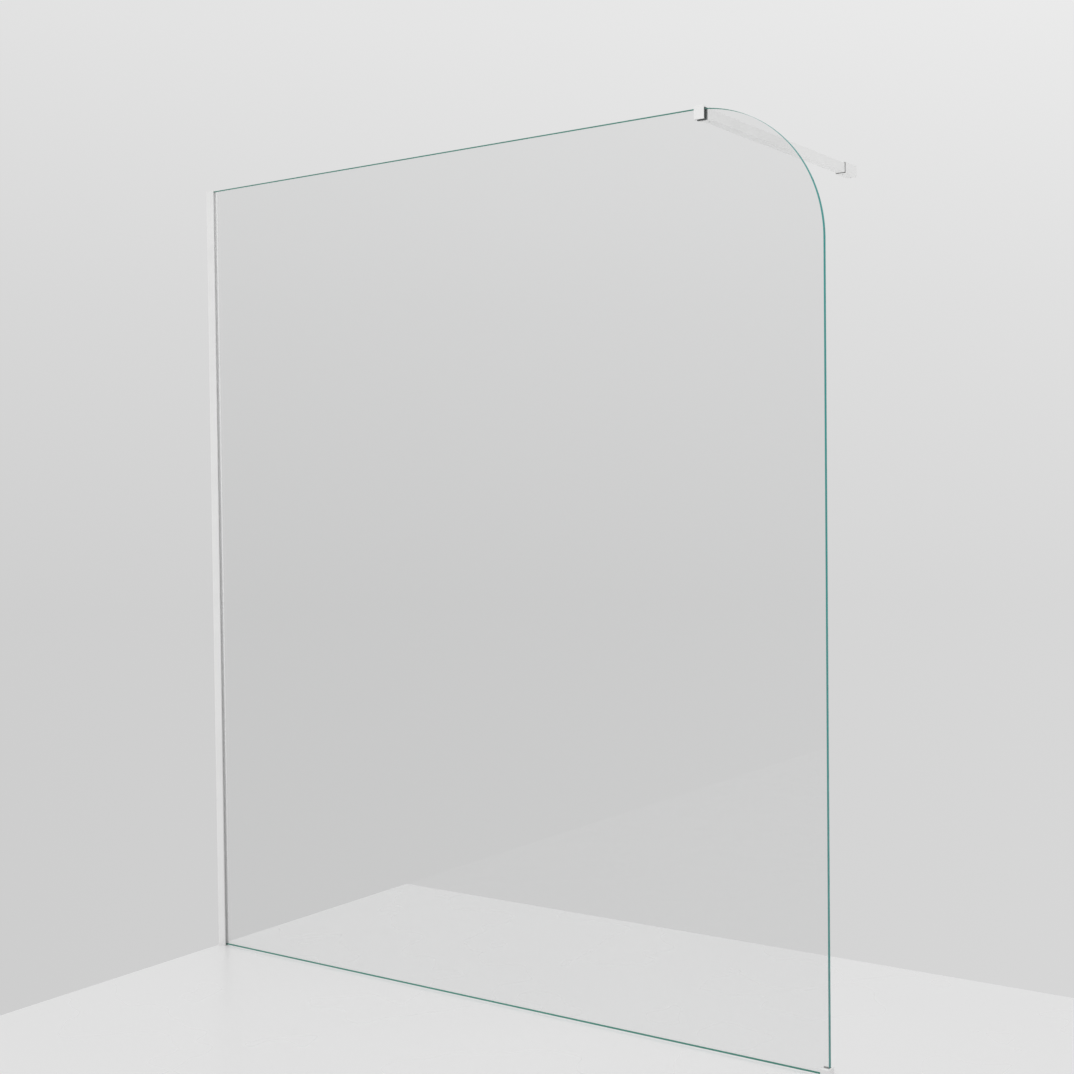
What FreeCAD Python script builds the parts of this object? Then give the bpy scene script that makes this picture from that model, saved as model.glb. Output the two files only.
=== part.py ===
# Walk-in shower screen: a glass panel with one rounded corner, held in a wall profile along one
# side, stayed by a square bar to the wall behind it and standing in a small foot.
# Millimetres. X runs along the glass from the side wall, Y from the glass to the back wall, Z up.
# The origin lies on the side wall, at the foot of the wall profile and the middle of the glass.
import FreeCAD, Part
import math
import os
import re

import Sketcher
from FreeCAD import Placement, Rotation, Vector

SIZES = [
    ("glass_top", 2000, "top edge of the glass above the floor"),
    ("glass_gap", 3, "bottom edge of the glass above the floor"),
    ("glass_thickness", 10, "thickness of the glass"),
    ("glass_arris", 0.6, "bevel ground on the edges of the glass"),
    ("glass_setback", 8, "side wall to the hidden edge of the glass"),
    ("screen_width", 1760, "side wall to the free edge of the glass"),
    ("corner_radius", 300, "rounded top corner of the glass"),
    ("channel_depth", 22, "wall profile, off the side wall"),
    ("channel_wall", 2, "wall thickness of the profile"),
    ("channel_round", 0.6, "rounded front edges of the profile"),
    ("channel_over", 0.5, "top of the profile above the glass"),
    ("gasket_thickness", 3, "gasket between glass and profile"),
    ("gasket_depth", 12, "gasket, from the mouth of the profile"),
    ("rib_setback", 4, "mouth of the profile to the gasket's rib"),
    ("rib_width", 3, "rib that keys the gasket to the profile"),
    ("rib_height", 0.8, "depth of the groove for that rib"),
    ("rib_clearance", 0.1, "rib in its groove"),
    ("cap_thickness", 1.5, "plate of the profile's top cap"),
    ("tongue_thickness", 1.5, "tongue of the cap, along the web"),
    ("tongue_length", 15, "tongue of the cap, downwards"),
    ("fixing_hole", 5.2, "diameter of the wall screws' holes"),
    ("fixing_end", 150, "end of the profile to its first hole"),
    ("loose_clearance", 0.2, "loose fit of parts that only pack a space"),
    ("foot_cover", 16, "length of glass in the foot"),
    ("foot_end", 2, "end wall of the foot"),
    ("foot_width", 28, "foot, across the glass"),
    ("foot_height", 18, "top of the foot above the floor"),
    ("foot_round", 1.5, "rounded edges of the foot"),
    ("foot_lining", 1.2, "thickness of the lining in the foot"),
    ("bar_inset", 280, "free edge of the glass to the bar's axis"),
    ("bar_drop", 9.5, "top edge of the glass to the bar's axis"),
    ("bar_size", 23, "width and height of the bar"),
    ("bar_wall", 1.5, "wall thickness of the bar"),
    ("bar_round", 1.2, "rounded corners of the bar"),
    ("clamp_width", 23, "clamp, along the glass"),
    ("clamp_height", 29, "clamp, centred on the bar's axis"),
    ("clamp_round", 0.8, "rounded edges of the clamp"),
    ("jaw_thickness", 3.5, "jaw before the glass"),
    ("lining_thickness", 2, "rubber on both faces of the glass"),
    ("lining_crown", 1, "rubber over the top edge of the glass"),
    ("crown_clearance", 0.2, "rubber above the top edge of the glass"),
    ("plate_thickness", 2, "pressure plate"),
    ("plate_travel", 1, "pressure plate to the clamp's block"),
    ("block_depth", 13, "block of the clamp behind the glass"),
    ("spigot_length", 30, "spigot of the clamp in the bar"),
    ("spigot_clearance", 0.15, "spigot in the bar, on each side"),
    ("set_screw_size", 8, "diameter of the clamp's set screw"),
    ("set_screw_length", 12, "length of the clamp's set screw"),
    ("set_screw_socket", 4, "hexagon of the clamp's set screw"),
    ("grub_size", 4, "diameter of the small grub screws"),
    ("grub_socket", 2, "hexagon of the small grub screws"),
    ("grub_recess", 0.2, "grub screw below the face it enters"),
    ("lock_length", 6, "grub screw of the bar's glass end"),
    ("lock_setback", 15, "end of the bar to that grub screw"),
    ("thread_clearance", 0.05, "screw in its thread, on each side"),
    ("pass_clearance", 0.3, "screw in a plain hole, on each side"),
    ("wall_distance", 772, "middle of the glass to the back wall"),
    ("sleeve_length", 65, "sleeve, off the back wall"),
    ("sleeve_wall", 1.5, "wall thickness of the sleeve"),
    ("sleeve_round", 1, "rounded corners of the sleeve"),
    ("bush_thickness", 1.2, "bush between bar and sleeve"),
    ("bush_length", 30, "bush, from the mouth of the sleeve"),
    ("bush_clearance", 0.1, "bar in the bush, on each side"),
    ("bar_in_sleeve", 31, "length of bar in the sleeve"),
    ("base_depth", 18, "base in the sleeve, off the back wall"),
    ("base_clearance", 0.15, "base in the sleeve, on each side"),
    ("base_bore", 5.5, "diameter of the wall screw's hole"),
    ("base_recess", 11, "diameter of the recess for its head"),
    ("base_recess_depth", 6, "depth of the recess for its head"),
    ("base_lock_length", 8, "grub screw of the sleeve's base"),
    ("grip_setback", 12, "mouth of the sleeve to its grip screw"),
]

FIXING_COUNT = 4
SCREW_BEVEL = 0.1
SOCKET_SHARE = 0.5

# Places and sizes that follow from the driving ones, written as formulas of the sheet's names.
HALF_GLASS = "glass_thickness / 2"
GROOVE_OUT = "(channel_depth - rib_setback)"
GROOVE_IN = "(channel_depth - rib_setback - rib_width)"
CHANNEL_INSIDE = "(glass_thickness / 2 + gasket_thickness)"
CHANNEL_OUTSIDE = f"({CHANNEL_INSIDE} + channel_wall)"
CHANNEL_TOP = "(glass_top + channel_over)"
SLOT_HALF = "(glass_thickness / 2 + foot_lining)"
BAR_X = "(screen_width - bar_inset)"
BAR_Z = "(glass_top - bar_drop)"
LINING_OUTSIDE = "(glass_thickness / 2 + lining_thickness)"
LINING_CEILING = "(bar_drop + crown_clearance)"
CLAMP_CEILING = f"({LINING_CEILING} + lining_crown)"
PLATE_BACK = f"({LINING_OUTSIDE} + plate_thickness)"
BLOCK_FRONT = f"({PLATE_BACK} + plate_travel)"
BLOCK_BACK = f"({BLOCK_FRONT} + block_depth)"
SPIGOT_END = f"({BLOCK_BACK} + spigot_length)"
SPIGOT_SIZE = "(bar_size - 2 * bar_wall - 2 * spigot_clearance)"
LOCK_Y = f"({BLOCK_BACK} + lock_setback)"
SLEEVE_MOUTH = "(wall_distance - sleeve_length)"
BAR_END = f"({SLEEVE_MOUTH} + bar_in_sleeve)"
BUSH_INSIDE = "(bar_size + 2 * bush_clearance)"
SLEEVE_INSIDE = f"({BUSH_INSIDE} + 2 * bush_thickness)"
SLEEVE_OUTSIDE = f"({SLEEVE_INSIDE} + 2 * sleeve_wall)"
GRIP_Y = f"({SLEEVE_MOUTH} + grip_setback)"
BASE_LOCK_Y = "(wall_distance - (base_depth - base_recess_depth) / 2)"
GRUB_HOLE = "(grub_size + 2 * thread_clearance)"
GRUB_PASSAGE = "(grub_size + 2 * pass_clearance)"

doc = FreeCAD.newDocument("shower_screen")


def make_sheet():
    """Spreadsheet with one row for each driving size."""
    made = doc.addObject("Spreadsheet::Sheet", "sizes")
    for row, (alias, value, meaning) in enumerate(SIZES, start=1):
        made.set(f"A{row}", meaning)
        made.set(f"B{row}", str(value))
        made.setAlias(f"B{row}", alias)
    doc.recompute()
    return made


sheet = make_sheet()
ALIASES = {alias for alias, _, _ in SIZES}
NAME = re.compile(r"[a-z_]+")


def linked(formula):
    """The formula with each size's name pointing at its cell."""
    return NAME.sub(lambda m: f"sizes.{m[0]}" if m[0] in ALIASES else m[0], formula)


def value_of(formula):
    """What a formula comes to with the sheet's present numbers."""
    return float(sheet.evalExpression(linked(formula)))


def bind(item, **formulas):
    """Tie properties of an object to formulas of the sheet."""
    for name, formula in formulas.items():
        item.setExpression(name, linked(formula))


def place(item, x="0", y="0", z="0", rotation=None):
    """Put a sub-part in the assembly."""
    if rotation:
        item.Placement = Placement(Vector(), rotation)
    for axis, formula in zip("xyz", (x, y, z)):
        item.setExpression(f"Placement.Base.{axis}", linked(formula))


def new_body(label):
    """An empty body, named after its sub-part."""
    body = doc.addObject("PartDesign::Body", label)
    body.Label = label
    return body


def origin_item(body, role):
    """One of the body's own origin planes or axes."""
    return next(item for item in body.Origin.OriginFeatures if item.Role == role)


def new_sketch(body, role, offset=None):
    """Sketch on one of the body's origin planes, moved along that plane's normal."""
    sketch = body.newObject("Sketcher::SketchObject", f"{body.Name}_sketch")
    sketch.AttachmentSupport = [(origin_item(body, role), "")]
    sketch.MapMode = "FlatFace"
    if offset:
        sketch.setExpression("AttachmentOffset.Base.z", linked(offset))
    return sketch


def hold_point(sketch, geometry, point, formulas, values):
    """Fix one point of a sketch's geometry from the sketch's origin."""
    for kind, formula, value in zip(("DistanceX", "DistanceY"), formulas, values):
        index = sketch.addConstraint(Sketcher.Constraint(kind, -1, 1, geometry, point, value))
        sketch.setExpression(f"Constraints[{index}]", linked(formula))


def draw_outline(sketch, corners):
    """Closed outline of straight lines through corners given as pairs of formulas."""
    values = [tuple(value_of(formula) for formula in corner) for corner in corners]
    first = sketch.GeometryCount
    count = len(corners)
    for i in range(count):
        start = Vector(*values[i], 0)
        end = Vector(*values[(i + 1) % count], 0)
        sketch.addGeometry(Part.LineSegment(start, end))
    for i in range(count):
        following = first + (i + 1) % count
        sketch.addConstraint(Sketcher.Constraint("Coincident", first + i, 2, following, 1))
        hold_point(sketch, first + i, 1, corners[i], values[i])


def draw_rectangle(sketch, left, right, low, high):
    """Rectangle between four formulas."""
    draw_outline(sketch, [(left, low), (right, low), (right, high), (left, high)])


def draw_square(sketch, size):
    """Square about the sketch's origin."""
    draw_rectangle(sketch, f"-{size} / 2", f"{size} / 2", f"-{size} / 2", f"{size} / 2")


def draw_circle(sketch, x, y, diameter):
    """Circle with its centre and diameter given as formulas."""
    centre = (value_of(x), value_of(y))
    index = sketch.addGeometry(
        Part.Circle(Vector(*centre, 0), Vector(0, 0, 1), value_of(diameter) / 2)
    )
    hold_point(sketch, index, 3, (x, y), centre)
    limit = sketch.addConstraint(Sketcher.Constraint("Diameter", index, value_of(diameter)))
    sketch.setExpression(f"Constraints[{limit}]", linked(diameter))


def add_pad(body, sketch, length, symmetric=False, reverse=False):
    """Extrude a sketch into the body."""
    pad = body.newObject("PartDesign::Pad", f"{body.Name}_pad")
    pad.Profile = sketch
    pad.SideType = "Symmetric" if symmetric else "One side"
    pad.Reversed = reverse
    bind(pad, Length=length)
    doc.recompute()
    return pad


def cut_pocket(body, sketch, length, reverse=False):
    """Cut a sketch out of the body, and make sure that it met the solid."""
    before = body.Shape.Volume
    pocket = body.newObject("PartDesign::Pocket", f"{body.Name}_pocket")
    pocket.Profile = sketch
    pocket.Reversed = reverse
    bind(pocket, Length=length)
    doc.recompute()
    if not body.Shape.Volume < before:
        raise RuntimeError(f"a pocket of {body.Label} cuts nothing")
    return pocket


def dress_edges(body, kind, size, chosen):
    """Fillet or chamfer the edges of the body's last feature that the test picks."""
    base = body.Tip
    names = [f"Edge{i}" for i, edge in enumerate(base.Shape.Edges, start=1) if chosen(edge)]
    if not names:
        raise RuntimeError(f"no edge of {body.Label} to dress")
    feature = body.newObject(f"PartDesign::{kind}", f"{body.Name}_{kind.lower()}")
    feature.Base = (base, names)
    bind(feature, **{"Radius" if kind == "Fillet" else "Size": size})
    doc.recompute()


def runs_along(edge, axis):
    """Whether an edge is straight and parallel to an axis."""
    if edge.Curve.TypeId != "Part::GeomLine":
        return False
    return abs(abs(edge.Curve.Direction.dot(axis)) - 1) < 1e-6


def near(value, formula):
    """Whether a measured coordinate agrees with a formula."""
    return abs(value - value_of(formula)) < 1e-4


def at_both_sides(value, formula):
    """Whether a measured coordinate agrees with a formula on either side of zero."""
    return near(abs(value), formula)


def middle(edge):
    """Middle of an edge's bounding box."""
    return edge.BoundBox.Center


def box(name, x, y, z, length, width, height):
    """Box with its low corner and its sizes given as formulas."""
    made = doc.addObject("Part::Box", name)
    bind(made, Length=length, Width=width, Height=height)
    place(made, x, y, z)
    return made


def make_wall_profile():
    """U channel with a groove for each gasket and a row of screw holes in its web."""
    body = new_body("wall_profile")
    sketch = new_sketch(body, "XY_Plane")
    groove = f"({CHANNEL_INSIDE} + rib_height)"
    draw_outline(sketch, [
        ("0", f"-{CHANNEL_OUTSIDE}"),
        ("channel_depth", f"-{CHANNEL_OUTSIDE}"),
        ("channel_depth", f"-{CHANNEL_INSIDE}"),
        (GROOVE_OUT, f"-{CHANNEL_INSIDE}"),
        (GROOVE_OUT, f"-{groove}"),
        (GROOVE_IN, f"-{groove}"),
        (GROOVE_IN, f"-{CHANNEL_INSIDE}"),
        ("channel_wall", f"-{CHANNEL_INSIDE}"),
        ("channel_wall", CHANNEL_INSIDE),
        (GROOVE_IN, CHANNEL_INSIDE),
        (GROOVE_IN, groove),
        (GROOVE_OUT, groove),
        (GROOVE_OUT, CHANNEL_INSIDE),
        ("channel_depth", CHANNEL_INSIDE),
        ("channel_depth", CHANNEL_OUTSIDE),
        ("0", CHANNEL_OUTSIDE),
    ])
    add_pad(body, sketch, CHANNEL_TOP)
    dress_edges(
        body, "Fillet", "channel_round",
        lambda edge: runs_along(edge, Vector(0, 0, 1))
        and near(middle(edge).x, "channel_depth")
        and at_both_sides(middle(edge).y, CHANNEL_OUTSIDE),
    )
    hole = new_sketch(body, "YZ_Plane")
    draw_circle(hole, "0", "fixing_end", "fixing_hole")
    pocket = cut_pocket(body, hole, "channel_wall", reverse=True)
    row = body.newObject("PartDesign::LinearPattern", "wall_profile_holes")
    row.Originals = [pocket]
    row.Direction = (origin_item(body, "Z_Axis"), [""])
    row.Occurrences = FIXING_COUNT
    bind(row, Length=f"{CHANNEL_TOP} - 2 * fixing_end")
    body.Tip = row
    return body


def make_gasket(label, side):
    """Gasket on one side of the glass, keyed to the profile by a rib. Side is a sign along Y."""
    body = new_body(label)
    sketch = new_sketch(body, "XY_Plane")
    inner_end = "channel_depth - gasket_depth"
    rib = f"({CHANNEL_INSIDE} + rib_height - rib_clearance)"
    corners = [
        (inner_end, HALF_GLASS),
        ("channel_depth", HALF_GLASS),
        ("channel_depth", CHANNEL_INSIDE),
        (f"{GROOVE_OUT} - rib_clearance", CHANNEL_INSIDE),
        (f"{GROOVE_OUT} - rib_clearance", rib),
        (f"{GROOVE_IN} + rib_clearance", rib),
        (f"{GROOVE_IN} + rib_clearance", CHANNEL_INSIDE),
        (inner_end, CHANNEL_INSIDE),
    ]
    draw_outline(sketch, [(x, f"{side} * ({y})") for x, y in corners])
    add_pad(body, sketch, CHANNEL_TOP)
    return body


def make_top_cap():
    """Plate over the end of the profile, with a tongue along the web."""
    plate = box(
        "cap_plate", "0", f"-{CHANNEL_OUTSIDE}", CHANNEL_TOP,
        "channel_depth", f"2 * {CHANNEL_OUTSIDE}", "cap_thickness",
    )
    tongue = box(
        "cap_tongue",
        "channel_wall", f"-{CHANNEL_INSIDE} + loose_clearance", f"{CHANNEL_TOP} - tongue_length",
        "tongue_thickness", f"2 * ({CHANNEL_INSIDE} - loose_clearance)", "tongue_length",
    )
    cap = doc.addObject("Part::Fuse", "profile_top_cap")
    cap.Base = plate
    cap.Tool = tongue
    return cap


def make_setting_block():
    """Block in the foot of the profile that carries the glass."""
    return box(
        "profile_setting_block", "channel_wall", f"-{HALF_GLASS} + loose_clearance", "0",
        "channel_depth - channel_wall", "glass_thickness - 2 * loose_clearance", "glass_gap",
    )


def make_glass():
    """Glass panel with one rounded top corner and bevelled edges."""
    body = new_body("glass_panel")
    sketch = new_sketch(body, "XZ_Plane")
    left, right = value_of("glass_setback"), value_of("screen_width")
    low, high = value_of("glass_gap"), value_of("glass_top")
    radius = value_of("corner_radius")
    centre = Vector(right - radius, high - radius, 0)
    outline = [
        Part.LineSegment(Vector(left, low, 0), Vector(right, low, 0)),
        Part.LineSegment(Vector(right, low, 0), Vector(right, high - radius, 0)),
        Part.ArcOfCircle(Part.Circle(centre, Vector(0, 0, 1), radius), 0, math.pi / 2),
        Part.LineSegment(Vector(right - radius, high, 0), Vector(left, high, 0)),
        Part.LineSegment(Vector(left, high, 0), Vector(left, low, 0)),
    ]
    bottom, free_edge, corner, top, wall_edge = (sketch.addGeometry(item) for item in outline)
    for joined in [
        Sketcher.Constraint("Coincident", bottom, 2, free_edge, 1),
        Sketcher.Constraint("Tangent", free_edge, 2, corner, 1),
        Sketcher.Constraint("Tangent", corner, 2, top, 1),
        Sketcher.Constraint("Coincident", top, 2, wall_edge, 1),
        Sketcher.Constraint("Coincident", wall_edge, 2, bottom, 1),
        Sketcher.Constraint("Horizontal", bottom),
        Sketcher.Constraint("Vertical", free_edge),
        Sketcher.Constraint("Horizontal", top),
        Sketcher.Constraint("Vertical", wall_edge),
    ]:
        sketch.addConstraint(joined)
    for limit, formula in [
        (Sketcher.Constraint("Radius", corner, radius), "corner_radius"),
        (Sketcher.Constraint("DistanceX", -1, 1, bottom, 1, left), "glass_setback"),
        (Sketcher.Constraint("DistanceX", -1, 1, bottom, 2, right), "screen_width"),
        (Sketcher.Constraint("DistanceY", -1, 1, bottom, 1, low), "glass_gap"),
        (Sketcher.Constraint("DistanceY", -1, 1, top, 2, high), "glass_top"),
    ]:
        index = sketch.addConstraint(limit)
        sketch.setExpression(f"Constraints[{index}]", linked(formula))
    add_pad(body, sketch, "glass_thickness", symmetric=True)
    dress_edges(
        body, "Chamfer", "glass_arris",
        lambda edge: not runs_along(edge, Vector(0, 1, 0)),
    )
    return body


def make_foot():
    """Shoe under the free corner, with a slot for the lined glass."""
    body = new_body("floor_foot")
    sketch = new_sketch(body, "XY_Plane")
    end = "foot_lining + foot_end"
    draw_rectangle(sketch, "-foot_cover", end, "-foot_width / 2", "foot_width / 2")
    add_pad(body, sketch, "foot_height")
    dress_edges(
        body, "Fillet", "foot_round",
        lambda edge: runs_along(edge, Vector(0, 0, 1)) or near(middle(edge).z, "foot_height"),
    )
    slot = new_sketch(body, "XY_Plane", offset="foot_height")
    draw_rectangle(slot, "-foot_cover", "foot_lining", f"-{SLOT_HALF}", SLOT_HALF)
    cut_pocket(body, slot, "foot_height - glass_gap + foot_lining")
    place(body, x="screen_width")
    return body


def make_foot_liner():
    """Lining under, beside and behind the glass in the foot."""
    outside = box(
        "liner_outside", "screen_width - foot_cover", f"-{SLOT_HALF}", "glass_gap - foot_lining",
        "foot_cover + foot_lining", f"2 * {SLOT_HALF}", "foot_height - glass_gap + foot_lining",
    )
    inside = box(
        "liner_inside", "screen_width - foot_cover", f"-{HALF_GLASS}", "glass_gap",
        "foot_cover", "glass_thickness", "foot_height - glass_gap",
    )
    liner = doc.addObject("Part::Cut", "foot_liner")
    liner.Base = outside
    liner.Tool = inside
    return liner


def make_clamp_body():
    """Clamp over the top edge: jaw, crown and block, and the spigot for the bar."""
    body = new_body("clamp_body")
    section = new_sketch(body, "YZ_Plane")
    front = f"-({LINING_OUTSIDE} + jaw_thickness)"
    low, high = "-clamp_height / 2", "clamp_height / 2"
    draw_outline(section, [
        (front, low),
        (f"-{LINING_OUTSIDE}", low),
        (f"-{LINING_OUTSIDE}", CLAMP_CEILING),
        (BLOCK_FRONT, CLAMP_CEILING),
        (BLOCK_FRONT, low),
        (BLOCK_BACK, low),
        (BLOCK_BACK, high),
        (front, high),
    ])
    add_pad(body, section, "clamp_width", symmetric=True)
    dress_edges(
        body, "Fillet", "clamp_round",
        lambda edge: near(middle(edge).y, front) or near(middle(edge).z, high),
    )
    spigot = new_sketch(body, "XZ_Plane", offset=f"-{BLOCK_BACK}")
    draw_square(spigot, SPIGOT_SIZE)
    add_pad(body, spigot, "spigot_length", reverse=True)
    thread = new_sketch(body, "XZ_Plane", offset=f"-{SPIGOT_END}")
    draw_circle(thread, "0", "0", "set_screw_size + 2 * thread_clearance")
    cut_pocket(body, thread, "spigot_length + block_depth", reverse=True)
    lock = new_sketch(body, "XY_Plane")
    draw_circle(lock, "0", LOCK_Y, GRUB_HOLE)
    cut_pocket(body, lock, "bar_size / 2")
    place(body, BAR_X, "0", BAR_Z)
    return body


def make_clamp_liner():
    """Rubber saddle over the top edge of the glass, inside the clamp."""
    body = new_body("clamp_liner")
    section = new_sketch(body, "YZ_Plane")
    low = "-clamp_height / 2"
    draw_outline(section, [
        (f"-{LINING_OUTSIDE}", low),
        (f"-{HALF_GLASS}", low),
        (f"-{HALF_GLASS}", LINING_CEILING),
        (HALF_GLASS, LINING_CEILING),
        (HALF_GLASS, low),
        (LINING_OUTSIDE, low),
        (LINING_OUTSIDE, CLAMP_CEILING),
        (f"-{LINING_OUTSIDE}", CLAMP_CEILING),
    ])
    add_pad(body, section, "clamp_width", symmetric=True)
    place(body, BAR_X, "0", BAR_Z)
    return body


def make_pressure_plate():
    """Plate between the set screw and the rubber."""
    width = "(clamp_width - 2 * clamp_round)"
    drop = "(clamp_height / 2 - clamp_round)"
    return box(
        "clamp_pressure_plate",
        f"{BAR_X} - {width} / 2", LINING_OUTSIDE, f"{BAR_Z} - {drop}",
        width, "plate_thickness", f"{drop} + {CLAMP_CEILING} - loose_clearance",
    )


def make_grub_screw(label, diameter, length, hexagon):
    """Headless screw along Z with its hexagon socket in the low end."""
    body = new_body(label)
    profile = new_sketch(body, "XZ_Plane")
    bevel = f"{SCREW_BEVEL} * {diameter}"
    draw_outline(profile, [
        ("0", "0"),
        (f"{diameter} / 2 - {bevel}", "0"),
        (f"{diameter} / 2", bevel),
        (f"{diameter} / 2", f"{length} - {bevel}"),
        (f"{diameter} / 2 - {bevel}", length),
        ("0", length),
    ])
    turned = body.newObject("PartDesign::Revolution", f"{label}_turned")
    turned.Profile = profile
    turned.ReferenceAxis = (origin_item(body, "Z_Axis"), [""])
    doc.recompute()
    socket = new_sketch(body, "XY_Plane")
    reach = f"{hexagon} / 2 / cos(30 deg)"
    draw_outline(socket, [
        (f"{reach} * cos({angle} deg)", f"{reach} * sin({angle} deg)") for angle in range(0, 360, 60)
    ])
    cut_pocket(body, socket, f"{SOCKET_SHARE} * ({length})", reverse=True)
    return body


def make_clamp_set_screw():
    """Set screw on the bar's axis, turned from the end of the spigot."""
    screw = make_grub_screw("clamp_set_screw", "set_screw_size", "set_screw_length", "set_screw_socket")
    place(screw, BAR_X, f"{PLATE_BACK} + set_screw_length", BAR_Z, Rotation(Vector(1, 0, 0), 90))
    return screw


def make_support_bar():
    """Square tube from the clamp's block into the wall sleeve."""
    body = new_body("support_bar")
    section = new_sketch(body, "XZ_Plane", offset=f"-{BLOCK_BACK}")
    draw_square(section, "bar_size")
    add_pad(body, section, f"{BAR_END} - {BLOCK_BACK}", reverse=True)
    dress_edges(body, "Fillet", "bar_round", lambda edge: runs_along(edge, Vector(0, 1, 0)))
    hollow = new_sketch(body, "XZ_Plane", offset=f"-{BAR_END}")
    draw_square(hollow, "(bar_size - 2 * bar_wall)")
    cut_pocket(body, hollow, f"{BAR_END} - {BLOCK_BACK}", reverse=True)
    lock = new_sketch(body, "XY_Plane")
    draw_circle(lock, "0", LOCK_Y, GRUB_PASSAGE)
    cut_pocket(body, lock, "bar_size / 2")
    place(body, BAR_X, "0", BAR_Z)
    return body


def make_wall_sleeve():
    """Square sleeve on the back wall, with two screw holes in its underside."""
    body = new_body("wall_sleeve")
    section = new_sketch(body, "XZ_Plane", offset="-wall_distance")
    draw_square(section, SLEEVE_OUTSIDE)
    add_pad(body, section, "sleeve_length")
    dress_edges(body, "Fillet", "sleeve_round", lambda edge: runs_along(edge, Vector(0, 1, 0)))
    hollow = new_sketch(body, "XZ_Plane", offset=f"-{SLEEVE_MOUTH}")
    draw_square(hollow, SLEEVE_INSIDE)
    cut_pocket(body, hollow, "sleeve_length")
    holes = new_sketch(body, "XY_Plane")
    draw_circle(holes, "0", GRIP_Y, GRUB_HOLE)
    draw_circle(holes, "0", BASE_LOCK_Y, GRUB_PASSAGE)
    cut_pocket(body, holes, f"{SLEEVE_OUTSIDE} / 2")
    place(body, BAR_X, "0", BAR_Z)
    return body


def make_sleeve_bush():
    """Bush in the mouth of the sleeve, in which the bar slides."""
    body = new_body("sleeve_bush")
    section = new_sketch(body, "XZ_Plane", offset=f"-{SLEEVE_MOUTH}")
    draw_square(section, SLEEVE_INSIDE)
    draw_square(section, BUSH_INSIDE)
    add_pad(body, section, "bush_length", reverse=True)
    hole = new_sketch(body, "XY_Plane")
    draw_circle(hole, "0", GRIP_Y, GRUB_PASSAGE)
    cut_pocket(body, hole, f"{SLEEVE_OUTSIDE} / 2")
    place(body, BAR_X, "0", BAR_Z)
    return body


def make_wall_base():
    """Block on the back wall that the sleeve slips over, with the wall screw's hole."""
    body = new_body("sleeve_wall_base")
    section = new_sketch(body, "XZ_Plane", offset="-wall_distance")
    draw_square(section, f"({SLEEVE_INSIDE} - 2 * base_clearance)")
    add_pad(body, section, "base_depth")
    bore = new_sketch(body, "XZ_Plane", offset="-wall_distance + base_depth")
    draw_circle(bore, "0", "0", "base_bore")
    cut_pocket(body, bore, "base_depth")
    recess = new_sketch(body, "XZ_Plane", offset="-wall_distance + base_depth")
    draw_circle(recess, "0", "0", "base_recess")
    cut_pocket(body, recess, "base_recess_depth")
    lock = new_sketch(body, "XY_Plane")
    draw_circle(lock, "0", BASE_LOCK_Y, GRUB_HOLE)
    cut_pocket(body, lock, f"{SLEEVE_INSIDE} / 2")
    place(body, BAR_X, "0", BAR_Z)
    return body


def make_bar_screws():
    """Small grub screws under the bar and the sleeve."""
    lock = make_grub_screw("bar_lock_screw", "grub_size", "lock_length", "grub_socket")
    place(lock, BAR_X, LOCK_Y, f"{BAR_Z} - bar_size / 2 + grub_recess")
    sleeve_underside = f"{BAR_Z} - {SLEEVE_OUTSIDE} / 2 + grub_recess"
    base_lock = make_grub_screw("sleeve_lock_screw", "grub_size", "base_lock_length", "grub_socket")
    place(base_lock, BAR_X, BASE_LOCK_Y, sleeve_underside)
    grip_length = "(sleeve_wall + bush_thickness - grub_recess)"
    grip = make_grub_screw("bar_grip_screw", "grub_size", grip_length, "grub_socket")
    place(grip, BAR_X, GRIP_Y, sleeve_underside)
    return [lock, base_lock, grip]


def check_and_export(subparts):
    """Refuse a failed or empty piece, then write one file for each sub-part."""
    doc.recompute()
    for item in doc.Objects:
        if {"Invalid", "Error"} & set(item.State):
            raise RuntimeError(f"{item.Label} failed: {item.State}")
    for part in subparts:
        if part.Shape.isNull() or not part.Shape.isValid() or len(part.Shape.Solids) != 1:
            raise RuntimeError(f"{part.Label} has no single valid solid")
    os.makedirs("parts", exist_ok=True)
    for part in subparts:
        part.Shape.exportStep(f"parts/{part.Label}.step")
        size = part.Shape.BoundBox
        print(f"{part.Label}: {size.XLength:.1f} x {size.YLength:.1f} x {size.ZLength:.1f} mm")


check_and_export([
    make_wall_profile(),
    make_gasket("profile_gasket_front", -1),
    make_gasket("profile_gasket_rear", 1),
    make_top_cap(),
    make_setting_block(),
    make_glass(),
    make_foot(),
    make_foot_liner(),
    make_clamp_body(),
    make_clamp_liner(),
    make_pressure_plate(),
    make_clamp_set_screw(),
    make_support_bar(),
    make_wall_sleeve(),
    make_sleeve_bush(),
    make_wall_base(),
    *make_bar_screws(),
])
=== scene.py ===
import math

import bmesh
import bpy
from mathutils import Matrix, Vector


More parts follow.
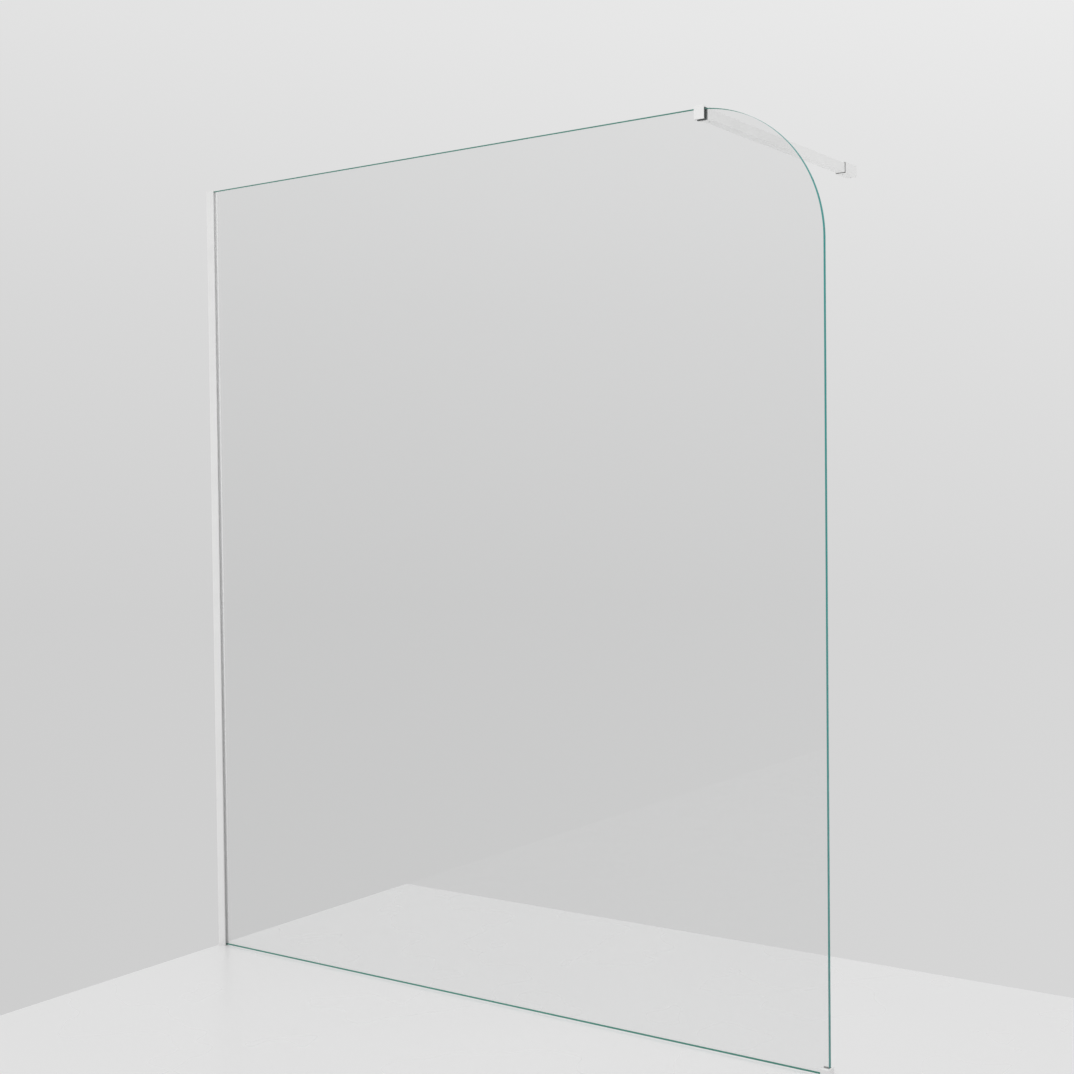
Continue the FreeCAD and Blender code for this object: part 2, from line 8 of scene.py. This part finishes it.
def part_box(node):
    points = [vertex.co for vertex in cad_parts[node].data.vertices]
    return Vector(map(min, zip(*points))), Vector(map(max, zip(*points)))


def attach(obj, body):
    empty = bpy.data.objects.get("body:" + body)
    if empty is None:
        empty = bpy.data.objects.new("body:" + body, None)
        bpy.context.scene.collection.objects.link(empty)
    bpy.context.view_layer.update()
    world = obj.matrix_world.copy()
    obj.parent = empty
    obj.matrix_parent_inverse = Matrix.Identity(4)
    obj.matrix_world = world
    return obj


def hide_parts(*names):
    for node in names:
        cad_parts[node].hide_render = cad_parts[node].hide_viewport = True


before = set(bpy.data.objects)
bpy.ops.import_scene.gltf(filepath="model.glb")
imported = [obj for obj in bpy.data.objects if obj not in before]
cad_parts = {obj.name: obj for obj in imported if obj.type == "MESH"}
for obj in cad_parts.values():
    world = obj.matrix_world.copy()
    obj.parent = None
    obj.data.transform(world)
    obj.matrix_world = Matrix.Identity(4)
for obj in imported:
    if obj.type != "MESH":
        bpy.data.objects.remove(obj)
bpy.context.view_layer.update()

# The photograph's camera, solved from the straight edges and the rounded corner of the glass.
CAMERA_PLACE = Vector((3.10418, -2.93269, 1.18902))
CAMERA_YAW = math.radians(35.0545)
CAMERA_PITCH = math.radians(-1.49873)
CAMERA_ROLL = math.radians(-0.6496)
CAMERA_LENS = 52.75
CAMERA_SENSOR = 36.0

# The glass, in metres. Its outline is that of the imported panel.
CORNER_RADIUS = 0.300
CORNER_STEPS = 96
ARRIS = 0.0006
SMOOTH_ANGLE = math.radians(20)

# The index of glass, and the low one of the faces, which hardly bend what is seen through them.
GLASS_INDEX = 1.52
FACE_INDEX = 1.06

# The tint of the glass where it is looked into along its whole height or width.
GLASS_DEPTH = (0.056, 0.245, 0.19)

# Where the tint of the edge changes, in metres from the middle of the thickness.
EDGE_RING = (0.001, 0.0044)

# How a texture is stretched: not at all, along an upright or a level extrusion, along the bar.
EVEN = (1, 1, 1)
UPRIGHT_GRAIN = (1, 1, 0.01)
LEVEL_GRAIN = (0.05, 1, 1)
METAL_GRAIN = (1, 0.05, 1)

# The span that most values of a noise lie in, and the unit for relief.
NOISE_SPAN = (0.3, 0.7)
MICRON = 1e-6

# The floor runs from the planes of the two wall mounts on past the camera, in metres.
FLOOR_FRONT = -5.0
FLOOR_RIGHT = 6.0
FLOOR_CELL = 0.25

# The surroundings: the strength of their light, and the tones that are seen, by the direction of
# the look. They climb with Z, lighten along X and deepen against Y.
LIGHT_STRENGTH = 0.88
HEIGHT_SPAN = (-0.3, 0.5)
HEIGHT_TONES = [(0.0, 0.638), (0.29, 0.645), (0.525, 0.708), (0.73, 0.785), (1.0, 0.83)]
SIDE_SPAN = (-0.8, -0.28)
SIDE_STRENGTH = (0.962, 1.055)
REAR_SPAN = (-0.25, 0.5)
REAR_STRENGTH = (0.7, 1)


def grey(tone):
    """A neutral colour."""
    return (tone, tone, tone)


def new_material(name):
    """A node material, with its node tree and its Principled shader."""
    made = bpy.data.materials.new(name)
    made.use_nodes = True
    return made, made.node_tree, made.node_tree.nodes["Principled BSDF"]


def settle(shader, **values):
    """Set constant inputs of a shader, named with underscores for spaces."""
    for name, value in values.items():
        shader.inputs[name.replace("_", " ")].default_value = value


def object_coordinates(tree, stretch=EVEN):
    """The model's own coordinates in metres, stretched along each axis."""
    source = tree.nodes.new("ShaderNodeTexCoord")
    mapping = tree.nodes.new("ShaderNodeMapping")
    mapping.inputs["Scale"].default_value = stretch
    tree.links.new(source.outputs["Object"], mapping.inputs["Vector"])
    return mapping.outputs["Vector"]


def coordinate(tree, axis):
    """One of the model's own coordinates, in metres."""
    parts = tree.nodes.new("ShaderNodeSeparateXYZ")
    tree.links.new(object_coordinates(tree), parts.inputs["Vector"])
    return parts.outputs[axis]


def noise(tree, waves, stretch=EVEN, detail=2.0):
    """Noise with so many waves to the metre."""
    texture = tree.nodes.new("ShaderNodeTexNoise")
    texture.inputs["Scale"].default_value = waves
    texture.inputs["Detail"].default_value = detail
    tree.links.new(object_coordinates(tree, stretch), texture.inputs["Vector"])
    return texture.outputs["Fac"]


def ranged(tree, value, onto, span=NOISE_SPAN):
    """A value carried from its own span onto another range."""
    node = tree.nodes.new("ShaderNodeMapRange")
    for name, number in zip(("From Min", "From Max", "To Min", "To Max"), (*span, *onto)):
        node.inputs[name].default_value = number
    tree.links.new(value, node.inputs["Value"])
    return node.outputs["Result"]


def mixed(tree, value, first, second):
    """A colour between two, by a value."""
    node = tree.nodes.new("ShaderNodeMix")
    node.data_type = "RGBA"
    node.inputs["A"].default_value = (*first, 1)
    node.inputs["B"].default_value = (*second, 1)
    tree.links.new(value, node.inputs["Factor"])
    return node.outputs["Result"]


def combined(tree, operation, first, second):
    """The result of arithmetic on two values."""
    node = tree.nodes.new("ShaderNodeMath")
    node.operation = operation
    tree.links.new(first, node.inputs[0])
    tree.links.new(second, node.inputs[1])
    return node.outputs["Value"]


def raised(tree, shader, height, depth):
    """Relief on a shader, so many metres deep."""
    bump = tree.nodes.new("ShaderNodeBump")
    bump.inputs["Strength"].default_value = 1.0
    bump.inputs["Distance"].default_value = depth
    tree.links.new(height, bump.inputs["Height"])
    tree.links.new(bump.outputs["Normal"], shader.inputs["Normal"])


def tinted(tree, shader, first, second, waves, stretch=EVEN):
    """Base colour that drifts between two close tones."""
    drift = ranged(tree, noise(tree, waves, stretch), onto=(0, 1))
    tree.links.new(mixed(tree, drift, first, second), shader.inputs["Base Color"])


def roughened(tree, shader, rough, waves, stretch=EVEN):
    """Roughness that varies over the surface."""
    value = ranged(tree, noise(tree, waves, stretch), onto=rough)
    tree.links.new(value, shader.inputs["Roughness"])


def make_powder_coat():
    """White satin powder coat, with its slight orange peel."""
    made, tree, shader = new_material("white_powder_coat")
    tinted(tree, shader, (0.80, 0.80, 0.797), (0.832, 0.832, 0.83), waves=14)
    roughened(tree, shader, rough=(0.34, 0.46), waves=90)
    raised(tree, shader, noise(tree, waves=800, detail=3), depth=60 * MICRON)
    return made


def make_white_plastic():
    """White moulded plastic with a fine eroded grain."""
    made, tree, shader = new_material("white_moulded_plastic")
    tinted(tree, shader, (0.76, 0.76, 0.75), (0.80, 0.80, 0.795), waves=60)
    roughened(tree, shader, rough=(0.45, 0.6), waves=400)
    raised(tree, shader, noise(tree, waves=3000, detail=1), depth=40 * MICRON)
    return made


def finish_rubber(tree, shader, stretch):
    """The matt finish of extruded rubber, with die lines along the extrusion."""
    roughened(tree, shader, rough=(0.5, 0.7), waves=500, stretch=stretch)
    raised(tree, shader, noise(tree, waves=1500, stretch=stretch, detail=3), depth=50 * MICRON)
    settle(shader, Specular_IOR_Level=0.35)


def make_rubber(name, dark, light):
    """Rubber of one tone, extruded level."""
    made, tree, shader = new_material(name)
    tinted(tree, shader, dark, light, waves=120, stretch=LEVEL_GRAIN)
    finish_rubber(tree, shader, LEVEL_GRAIN)
    return made


def make_gasket_with_painted_shade(node, foot, head):
    """Extruded rubber of an upright gasket, with painted shade: its tone darkens from top to
    bottom, as the light falls off towards the floor.
    """
    low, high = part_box(node)
    made, tree, shader = new_material(node)
    # Painted shade: the tone runs from the darker foot colour at the bottom to the lighter head
    # colour at the top.
    height = ranged(tree, coordinate(tree, "Z"), onto=(0, 1), span=(low.z, high.z))
    drift = ranged(tree, noise(tree, waves=120, stretch=UPRIGHT_GRAIN), onto=(-0.1, 0.1))
    tone = combined(tree, "ADD", height, drift)
    tree.links.new(mixed(tree, tone, foot, head), shader.inputs["Base Color"])
    finish_rubber(tree, shader, UPRIGHT_GRAIN)
    return made


def make_dark_plastic():
    """Dark moulded bush."""
    made, tree, shader = new_material("dark_moulded_plastic")
    tinted(tree, shader, (0.014, 0.015, 0.015), (0.022, 0.023, 0.023), waves=80)
    roughened(tree, shader, rough=(0.4, 0.55), waves=600)
    raised(tree, shader, noise(tree, waves=2500, detail=1), depth=40 * MICRON)
    return made


def make_metal(name, dark, light, rough):
    """Bare metal with its grain drawn out along the bar."""
    made, tree, shader = new_material(name)
    tinted(tree, shader, dark, light, waves=300, stretch=METAL_GRAIN)
    roughened(tree, shader, rough, waves=900, stretch=METAL_GRAIN)
    raised(tree, shader, noise(tree, waves=2000, stretch=METAL_GRAIN, detail=3), depth=20 * MICRON)
    settle(shader, Metallic=1.0)
    return made


def make_glass_face():
    """Clear thin glass, with the gloss of a clear coat."""
    made, tree, shader = new_material("glass_face")
    settle(
        shader, Base_Color=(0.926, 0.9285, 0.9285, 1), Transmission_Weight=1.0, IOR=FACE_INDEX,
        Coat_Weight=1.0, Coat_IOR=GLASS_INDEX, Coat_Roughness=0.0,
    )
    roughened(tree, shader, rough=(0.0, 0.012), waves=5)
    return made


def show_depth(tree, shader):
    """From within the glass, show its deep tint in place of the surface's own finish."""
    inside = tree.nodes.new("ShaderNodeBsdfDiffuse")
    inside.inputs["Color"].default_value = (*GLASS_DEPTH, 1)
    side = tree.nodes.new("ShaderNodeNewGeometry")
    choice = tree.nodes.new("ShaderNodeMixShader")
    tree.links.new(side.outputs["Backfacing"], choice.inputs["Fac"])
    tree.links.new(shader.outputs["BSDF"], choice.inputs[1])
    tree.links.new(inside.outputs["BSDF"], choice.inputs[2])
    tree.links.new(choice.outputs["Shader"], tree.nodes["Material Output"].inputs["Surface"])


def make_glass_edge():
    """Polished edge, where the tint of the glass shows: deepest in the middle of the thickness."""
    made, tree, shader = new_material("glass_edge")
    off_middle = tree.nodes.new("ShaderNodeMath")
    off_middle.operation = "ABSOLUTE"
    tree.links.new(coordinate(tree, "Y"), off_middle.inputs[0])
    ring = ranged(tree, off_middle.outputs["Value"], onto=(0, 1), span=EDGE_RING)
    colour = mixed(tree, ring, (0.032, 0.245, 0.225), (0.018, 0.39, 0.36))
    tree.links.new(colour, shader.inputs["Base Color"])
    roughened(tree, shader, rough=(0.05, 0.14), waves=40)
    settle(shader, IOR=GLASS_INDEX, Specular_IOR_Level=0.12)
    show_depth(tree, shader)
    return made


def make_glass_arris():
    """Ground bevel between the face and the polished edge."""
    made, tree, shader = new_material("glass_arris")
    tinted(tree, shader, (0.26, 0.40, 0.385), (0.30, 0.44, 0.425), waves=300)
    roughened(tree, shader, rough=(0.25, 0.4), waves=800)
    raised(tree, shader, noise(tree, waves=3000, detail=1), depth=30 * MICRON)
    settle(shader, IOR=GLASS_INDEX, Specular_IOR_Level=0.3)
    show_depth(tree, shader)
    return made


def glass_outline(low, high, inset):
    """Points around the panel as pairs of X and Z, moved in by the inset."""
    left, right = low.x + inset, high.x - inset
    bottom, top = low.z + inset, high.z - inset
    radius = CORNER_RADIUS - inset
    points = [(left, top), (left, bottom), (right, bottom)]
    for step in range(CORNER_STEPS + 1):
        angle = math.pi / 2 * step / CORNER_STEPS
        points.append((
            right - radius + radius * math.cos(angle),
            top - radius + radius * math.sin(angle),
        ))
    return points


def make_glass():
    """The panel with a smooth corner, and its faces, arrises and edges told apart."""
    low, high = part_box("glass_panel")
    mesh = bmesh.new()
    rings = []
    for y, inset in [(low.y, ARRIS), (low.y + ARRIS, 0), (high.y - ARRIS, 0), (high.y, ARRIS)]:
        rings.append([mesh.verts.new((x, y, z)) for x, z in glass_outline(low, high, inset)])
    face, arris, edge = range(3)
    for ring, turned in ((rings[0], False), (rings[-1], True)):
        made = mesh.faces.new(list(reversed(ring)) if turned else ring)
        made.material_index = face
    count = len(rings[0])
    for first, second, kind in zip(rings, rings[1:], (arris, edge, arris)):
        for i in range(count):
            following = (i + 1) % count
            made = mesh.faces.new((first[following], first[i], second[i], second[following]))
            made.material_index = kind
            made.smooth = True
    for line in mesh.edges:
        line.smooth = len(line.link_faces) == 2 and line.calc_face_angle() < SMOOTH_ANGLE
    data = bpy.data.meshes.new("glass")
    mesh.normal_update()
    mesh.to_mesh(data)
    mesh.free()
    for made in (make_glass_face(), make_glass_arris(), make_glass_edge()):
        data.materials.append(made)
    glass = bpy.data.objects.new("glass", data)
    bpy.context.scene.collection.objects.link(glass)
    # Light passes the clear panel unhindered.
    glass.visible_shadow = False
    glass.visible_diffuse = False
    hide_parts("glass_panel")
    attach(glass, "panel")


def dress_cad():
    """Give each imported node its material."""
    coat = make_powder_coat()
    grey_rubber = make_rubber("grey_rubber", grey(0.40), grey(0.46))
    dark_rubber = make_rubber("dark_rubber", (0.060, 0.074, 0.070), (0.082, 0.098, 0.094))
    steel = make_metal("stainless_steel", grey(0.5), (0.62, 0.62, 0.61), rough=(0.22, 0.38))
    aluminium = make_metal(
        "mill_aluminium", (0.62, 0.63, 0.64), (0.74, 0.75, 0.76), rough=(0.3, 0.45),
    )
    worn_by = {
        "wall_profile": coat,
        # Painted shade on both gaskets, darker towards the floor. The rear gasket sits shaded
        # inside the channel and gets paler tones than the front one, a painted lift against that
        # shade.
        "profile_gasket_front": make_gasket_with_painted_shade("profile_gasket_front", grey(0.54), grey(0.80)),
        "profile_gasket_rear": make_gasket_with_painted_shade("profile_gasket_rear", grey(0.80), grey(0.92)),
        "profile_top_cap": make_white_plastic(),
        "profile_setting_block": dark_rubber,
        "floor_foot": coat,
        "foot_liner": grey_rubber,
        "clamp_body": coat,
        "clamp_liner": dark_rubber,
        "clamp_pressure_plate": steel,
        "clamp_set_screw": steel,
        "support_bar": coat,
        "bar_lock_screw": steel,
        "wall_sleeve": coat,
        "sleeve_bush": make_dark_plastic(),
        "sleeve_wall_base": aluminium,
        "sleeve_lock_screw": steel,
        "bar_grip_screw": steel,
    }
    for node, made in worn_by.items():
        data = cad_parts[node].data
        data.materials.clear()
        data.materials.append(made)


def make_floor():
    """Plain pale floor, a little glossy, that ends at the planes of the two wall mounts."""
    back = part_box("wall_sleeve")[1].y
    across = round(FLOOR_RIGHT / FLOOR_CELL)
    along = round((back - FLOOR_FRONT) / FLOOR_CELL)
    mesh = bmesh.new()
    half = 0.5
    bmesh.ops.create_grid(mesh, x_segments=across, y_segments=along, size=half)
    for vertex in mesh.verts:
        vertex.co.x = (vertex.co.x + half) * FLOOR_RIGHT
        vertex.co.y = FLOOR_FRONT + (vertex.co.y + half) * (back - FLOOR_FRONT)
    data = bpy.data.meshes.new("floor")
    mesh.to_mesh(data)
    mesh.free()
    made, tree, shader = new_material("floor")
    tinted(tree, shader, grey(0.79), grey(0.803), waves=1.2)
    roughened(tree, shader, rough=(0.24, 0.32), waves=3)
    data.materials.append(made)
    floor = bpy.data.objects.new("floor", data)
    bpy.context.scene.collection.objects.link(floor)
    # Mirrored, its far edge would draw a line across the glass.
    floor.visible_glossy = False


def make_world():
    """Even light, with graded greys for what is seen or mirrored."""
    world = bpy.data.worlds.new("studio")
    bpy.context.scene.world = world
    world.use_nodes = True
    tree = world.node_tree
    light = tree.nodes["Background"]
    light.inputs["Color"].default_value = (1, 1, 1, 1)
    light.inputs["Strength"].default_value = LIGHT_STRENGTH
    source = tree.nodes.new("ShaderNodeTexCoord")
    look = tree.nodes.new("ShaderNodeSeparateXYZ")
    tree.links.new(source.outputs["Generated"], look.inputs["Vector"])
    height = ranged(tree, look.outputs["Z"], onto=(0, 1), span=HEIGHT_SPAN)
    ramp = tree.nodes.new("ShaderNodeValToRGB")
    tree.links.new(height, ramp.inputs["Fac"])
    while len(ramp.color_ramp.elements) < len(HEIGHT_TONES):
        ramp.color_ramp.elements.new(0.5)
    for element, (place, tone) in zip(ramp.color_ramp.elements, HEIGHT_TONES):
        element.position = place
        element.color = (*grey(tone), 1)
    path = tree.nodes.new("ShaderNodeLightPath")
    direct = combined(
        tree, "MAXIMUM", path.outputs["Is Camera Ray"], path.outputs["Is Transmission Ray"],
    )
    seen = combined(tree, "MAXIMUM", direct, path.outputs["Is Glossy Ray"])
    side = ranged(tree, look.outputs["X"], onto=SIDE_STRENGTH, span=SIDE_SPAN)
    rear = ranged(tree, look.outputs["Y"], onto=REAR_STRENGTH, span=REAR_SPAN)
    # What is mirrored takes the power of nought, so that its rear isn't deeper.
    shade = combined(tree, "POWER", rear, direct)
    picture = tree.nodes.new("ShaderNodeBackground")
    tree.links.new(ramp.outputs["Color"], picture.inputs["Color"])
    tree.links.new(combined(tree, "MULTIPLY", side, shade), picture.inputs["Strength"])
    choice = tree.nodes.new("ShaderNodeMixShader")
    tree.links.new(seen, choice.inputs["Fac"])
    tree.links.new(light.outputs["Background"], choice.inputs[1])
    tree.links.new(picture.outputs["Background"], choice.inputs[2])
    tree.links.new(choice.outputs["Shader"], tree.nodes["World Output"].inputs["Surface"])


def make_lamp(name, place, target, size, power):
    """Square softbox that faces a point."""
    data = bpy.data.lights.new(name, "AREA")
    data.size = size
    data.energy = power
    lamp = bpy.data.objects.new(name, data)
    lamp.location = place
    lamp.rotation_euler = (Vector(target) - Vector(place)).to_track_quat("-Z", "Y").to_euler()
    lamp.visible_camera = False
    lamp.visible_glossy = False
    lamp.visible_transmission = False
    bpy.context.scene.collection.objects.link(lamp)


def make_camera():
    """Camera of the photograph."""
    forward = Vector((
        -math.sin(CAMERA_YAW) * math.cos(CAMERA_PITCH),
        math.cos(CAMERA_YAW) * math.cos(CAMERA_PITCH),
        math.sin(CAMERA_PITCH),
    ))
    level = forward.cross(Vector((0, 0, 1))).normalized()
    upright = level.cross(forward)
    turn, lift = math.cos(CAMERA_ROLL), math.sin(CAMERA_ROLL)
    right = turn * level + lift * upright
    up = turn * upright - lift * level
    data = bpy.data.cameras.new("camera")
    data.sensor_fit = "HORIZONTAL"
    data.sensor_width = CAMERA_SENSOR
    data.lens = CAMERA_LENS
    camera = bpy.data.objects.new("camera", data)
    turned = Matrix((right, up, -forward)).transposed()
    camera.matrix_world = Matrix.Translation(CAMERA_PLACE) @ turned.to_4x4()
    bpy.context.scene.collection.objects.link(camera)
    bpy.context.scene.camera = camera


make_glass()
dress_cad()
make_floor()
make_world()
make_lamp("key", place=(2.2, -2.2, 3.3), target=(1.5, 0.0, 1.9), size=1.6, power=14)
make_lamp("fill", place=(1.48, 0.4, 0.3), target=(1.48, 0.4, 2.0), size=0.5, power=2.4)
make_camera()
bpy.context.scene.view_settings.view_transform = "Standard"
